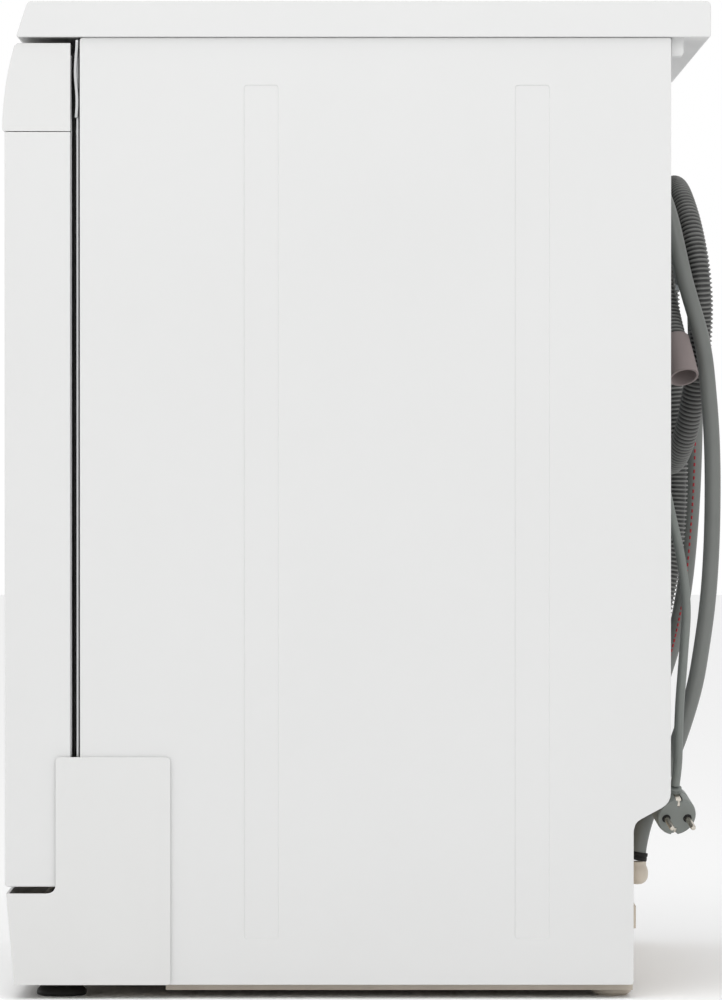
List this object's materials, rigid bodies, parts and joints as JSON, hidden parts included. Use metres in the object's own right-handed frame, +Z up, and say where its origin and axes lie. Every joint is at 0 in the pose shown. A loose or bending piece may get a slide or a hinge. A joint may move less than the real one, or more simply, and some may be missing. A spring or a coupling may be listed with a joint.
{
  "type": "dishwasher",
  "caption": "Free-standing front-loading dishwasher with drop-down door, worktop, sliding racks, spray arms and rear hoses.",
  "frame": {"origin": "on the floor, under the middle of the worktop's width and of the depth from fascia nose to worktop back", "axes": "+Z up, -Y out of the door's front, +X towards the right-hand side as seen from the front"},
  "size_m": [0.6, 0.6158, 0.845],
  "materials": {
    "white_enamel": "gloss",
    "white_laminate": "satin",
    "white_plastic": "satin",
    "cream_plastic": "satin",
    "black_plastic": "satin",
    "grey_plastic": "satin",
    "steel": "brushed",
    "zinc": "galvanised",
    "rubber": "matte",
    "hose_grey": "satin",
    "cuff_taupe": "matte",
    "dark_glass": "gloss",
    "circuit_green": "satin"
  },
  "bodies": {
    "cabinet": {"worktop": "white_laminate", "side_panel_right": "white_enamel", "side_panel_left": "white_enamel", "back_panel": "zinc", "lower_back_cover": "cream_plastic", "base_tray": "cream_plastic", "front_foot_right": "black_plastic", "front_foot_left": "black_plastic", "plinth": "white_plastic", "hinge_bracket_right": "zinc", "hinge_bracket_left": "zinc", "door_spring_right": "zinc", "door_spring_left": "zinc", "latch_strike": "zinc", "tub": "steel", "door_seal": "rubber", "upper_rail_right": "steel", "upper_rail_left": "steel", "roof_spray": "grey_plastic", "sump": "black_plastic", "filter_plate": "steel", "filter_cup": "grey_plastic", "circulation_pump": "black_plastic", "flow_heater": "steel", "drain_pump": "black_plastic", "water_softener": "white_plastic", "salt_cap": "grey_plastic", "inlet_valve": "white_plastic", "hose_cradle": "grey_plastic", "drain_elbow": "grey_plastic", "drain_hose": "hose_grey", "drain_cuff": "cuff_taupe", "inlet_elbow": "cream_plastic", "inlet_hose": "hose_grey", "inlet_nut": "grey_plastic", "mains_gland": "black_plastic", "mains_lead": "hose_grey", "mains_plug": "hose_grey"},
    "door": {"door_outer_panel": "white_enamel", "control_fascia": "white_plastic", "display_window": "dark_glass", "control_board": "circuit_green", "door_inner_liner": "steel", "dispenser_body": "grey_plastic", "hinge_arm_right": "zinc", "hinge_arm_left": "zinc", "door_lock": "black_plastic"},
    "power_button": {"power_button": "grey_plastic"},
    "programme_button": {"programme_button": "grey_plastic"},
    "start_button": {"start_button": "grey_plastic"},
    "dispenser_lid": {"dispenser_lid": "grey_plastic"},
    "upper_rack": {"upper_rack": "grey_plastic"},
    "upper_spray_arm": {"upper_spray_arm": "grey_plastic"},
    "lower_rack": {"lower_rack": "grey_plastic", "cutlery_basket": "grey_plastic"},
    "wheel_front_right": {"wheel_front_right": "grey_plastic"},
    "wheel_front_left": {"wheel_front_left": "grey_plastic"},
    "wheel_rear_right": {"wheel_rear_right": "grey_plastic"},
    "wheel_rear_left": {"wheel_rear_left": "grey_plastic"},
    "lower_spray_arm": {"lower_spray_arm": "grey_plastic"}
  },
  "joints": [
    {"name": "door_hinge", "type": "hinge", "parent": "cabinet", "child": "door", "pos_m": [0, -0.262, 0.13], "axis": [1, 0, 0], "range_deg": [0, 90]},
    {"name": "upper_rack_slide", "type": "slide", "parent": "cabinet", "child": "upper_rack", "axis": [0, -1, 0], "range_m": [0, 0.46]},
    {"name": "lower_rack_slide", "type": "slide", "parent": "cabinet", "child": "lower_rack", "axis": [0, -1, 0], "range_m": [0, 0.19]},
    {"name": "power_press", "type": "slide", "parent": "door", "child": "power_button", "axis": [0, 1, 0], "range_m": [0, 0.002], "stiffness_N_per_m": 400},
    {"name": "programme_press", "type": "slide", "parent": "door", "child": "programme_button", "axis": [0, 1, 0], "range_m": [0, 0.002], "stiffness_N_per_m": 400},
    {"name": "start_press", "type": "slide", "parent": "door", "child": "start_button", "axis": [0, 1, 0], "range_m": [0, 0.002], "stiffness_N_per_m": 400},
    {"name": "dispenser_lid_slide", "type": "slide", "parent": "door", "child": "dispenser_lid", "axis": [-1, 0, 0], "range_m": [0, 0.095]},
    {"name": "upper_arm_spin", "type": "hinge", "parent": "upper_rack", "child": "upper_spray_arm", "pos_m": [0, -0.005, 0.424], "axis": [0, 0, 1], "continuous": true},
    {"name": "lower_arm_spin", "type": "hinge", "parent": "cabinet", "child": "lower_spray_arm", "pos_m": [0, -0.005, 0.173], "axis": [0, 0, 1], "continuous": true},
    {"name": "wheel_front_right_roll", "type": "hinge", "parent": "lower_rack", "child": "wheel_front_right", "pos_m": [0.243, -0.15, 0.197], "axis": [1, 0, 0], "continuous": true},
    {"name": "wheel_front_left_roll", "type": "hinge", "parent": "lower_rack", "child": "wheel_front_left", "pos_m": [-0.243, -0.15, 0.197], "axis": [1, 0, 0], "continuous": true},
    {"name": "wheel_rear_right_roll", "type": "hinge", "parent": "lower_rack", "child": "wheel_rear_right", "pos_m": [0.243, 0.14, 0.197], "axis": [1, 0, 0], "continuous": true},
    {"name": "wheel_rear_left_roll", "type": "hinge", "parent": "lower_rack", "child": "wheel_rear_left", "pos_m": [-0.243, 0.14, 0.197], "axis": [1, 0, 0], "continuous": true}
  ],
  "couplings": [
    {"joint": "upper_rack_slide", "follows": "door_hinge", "m_per_rad": 0.29},
    {"joint": "lower_rack_slide", "follows": "door_hinge", "m_per_rad": 0.11}
  ]
}
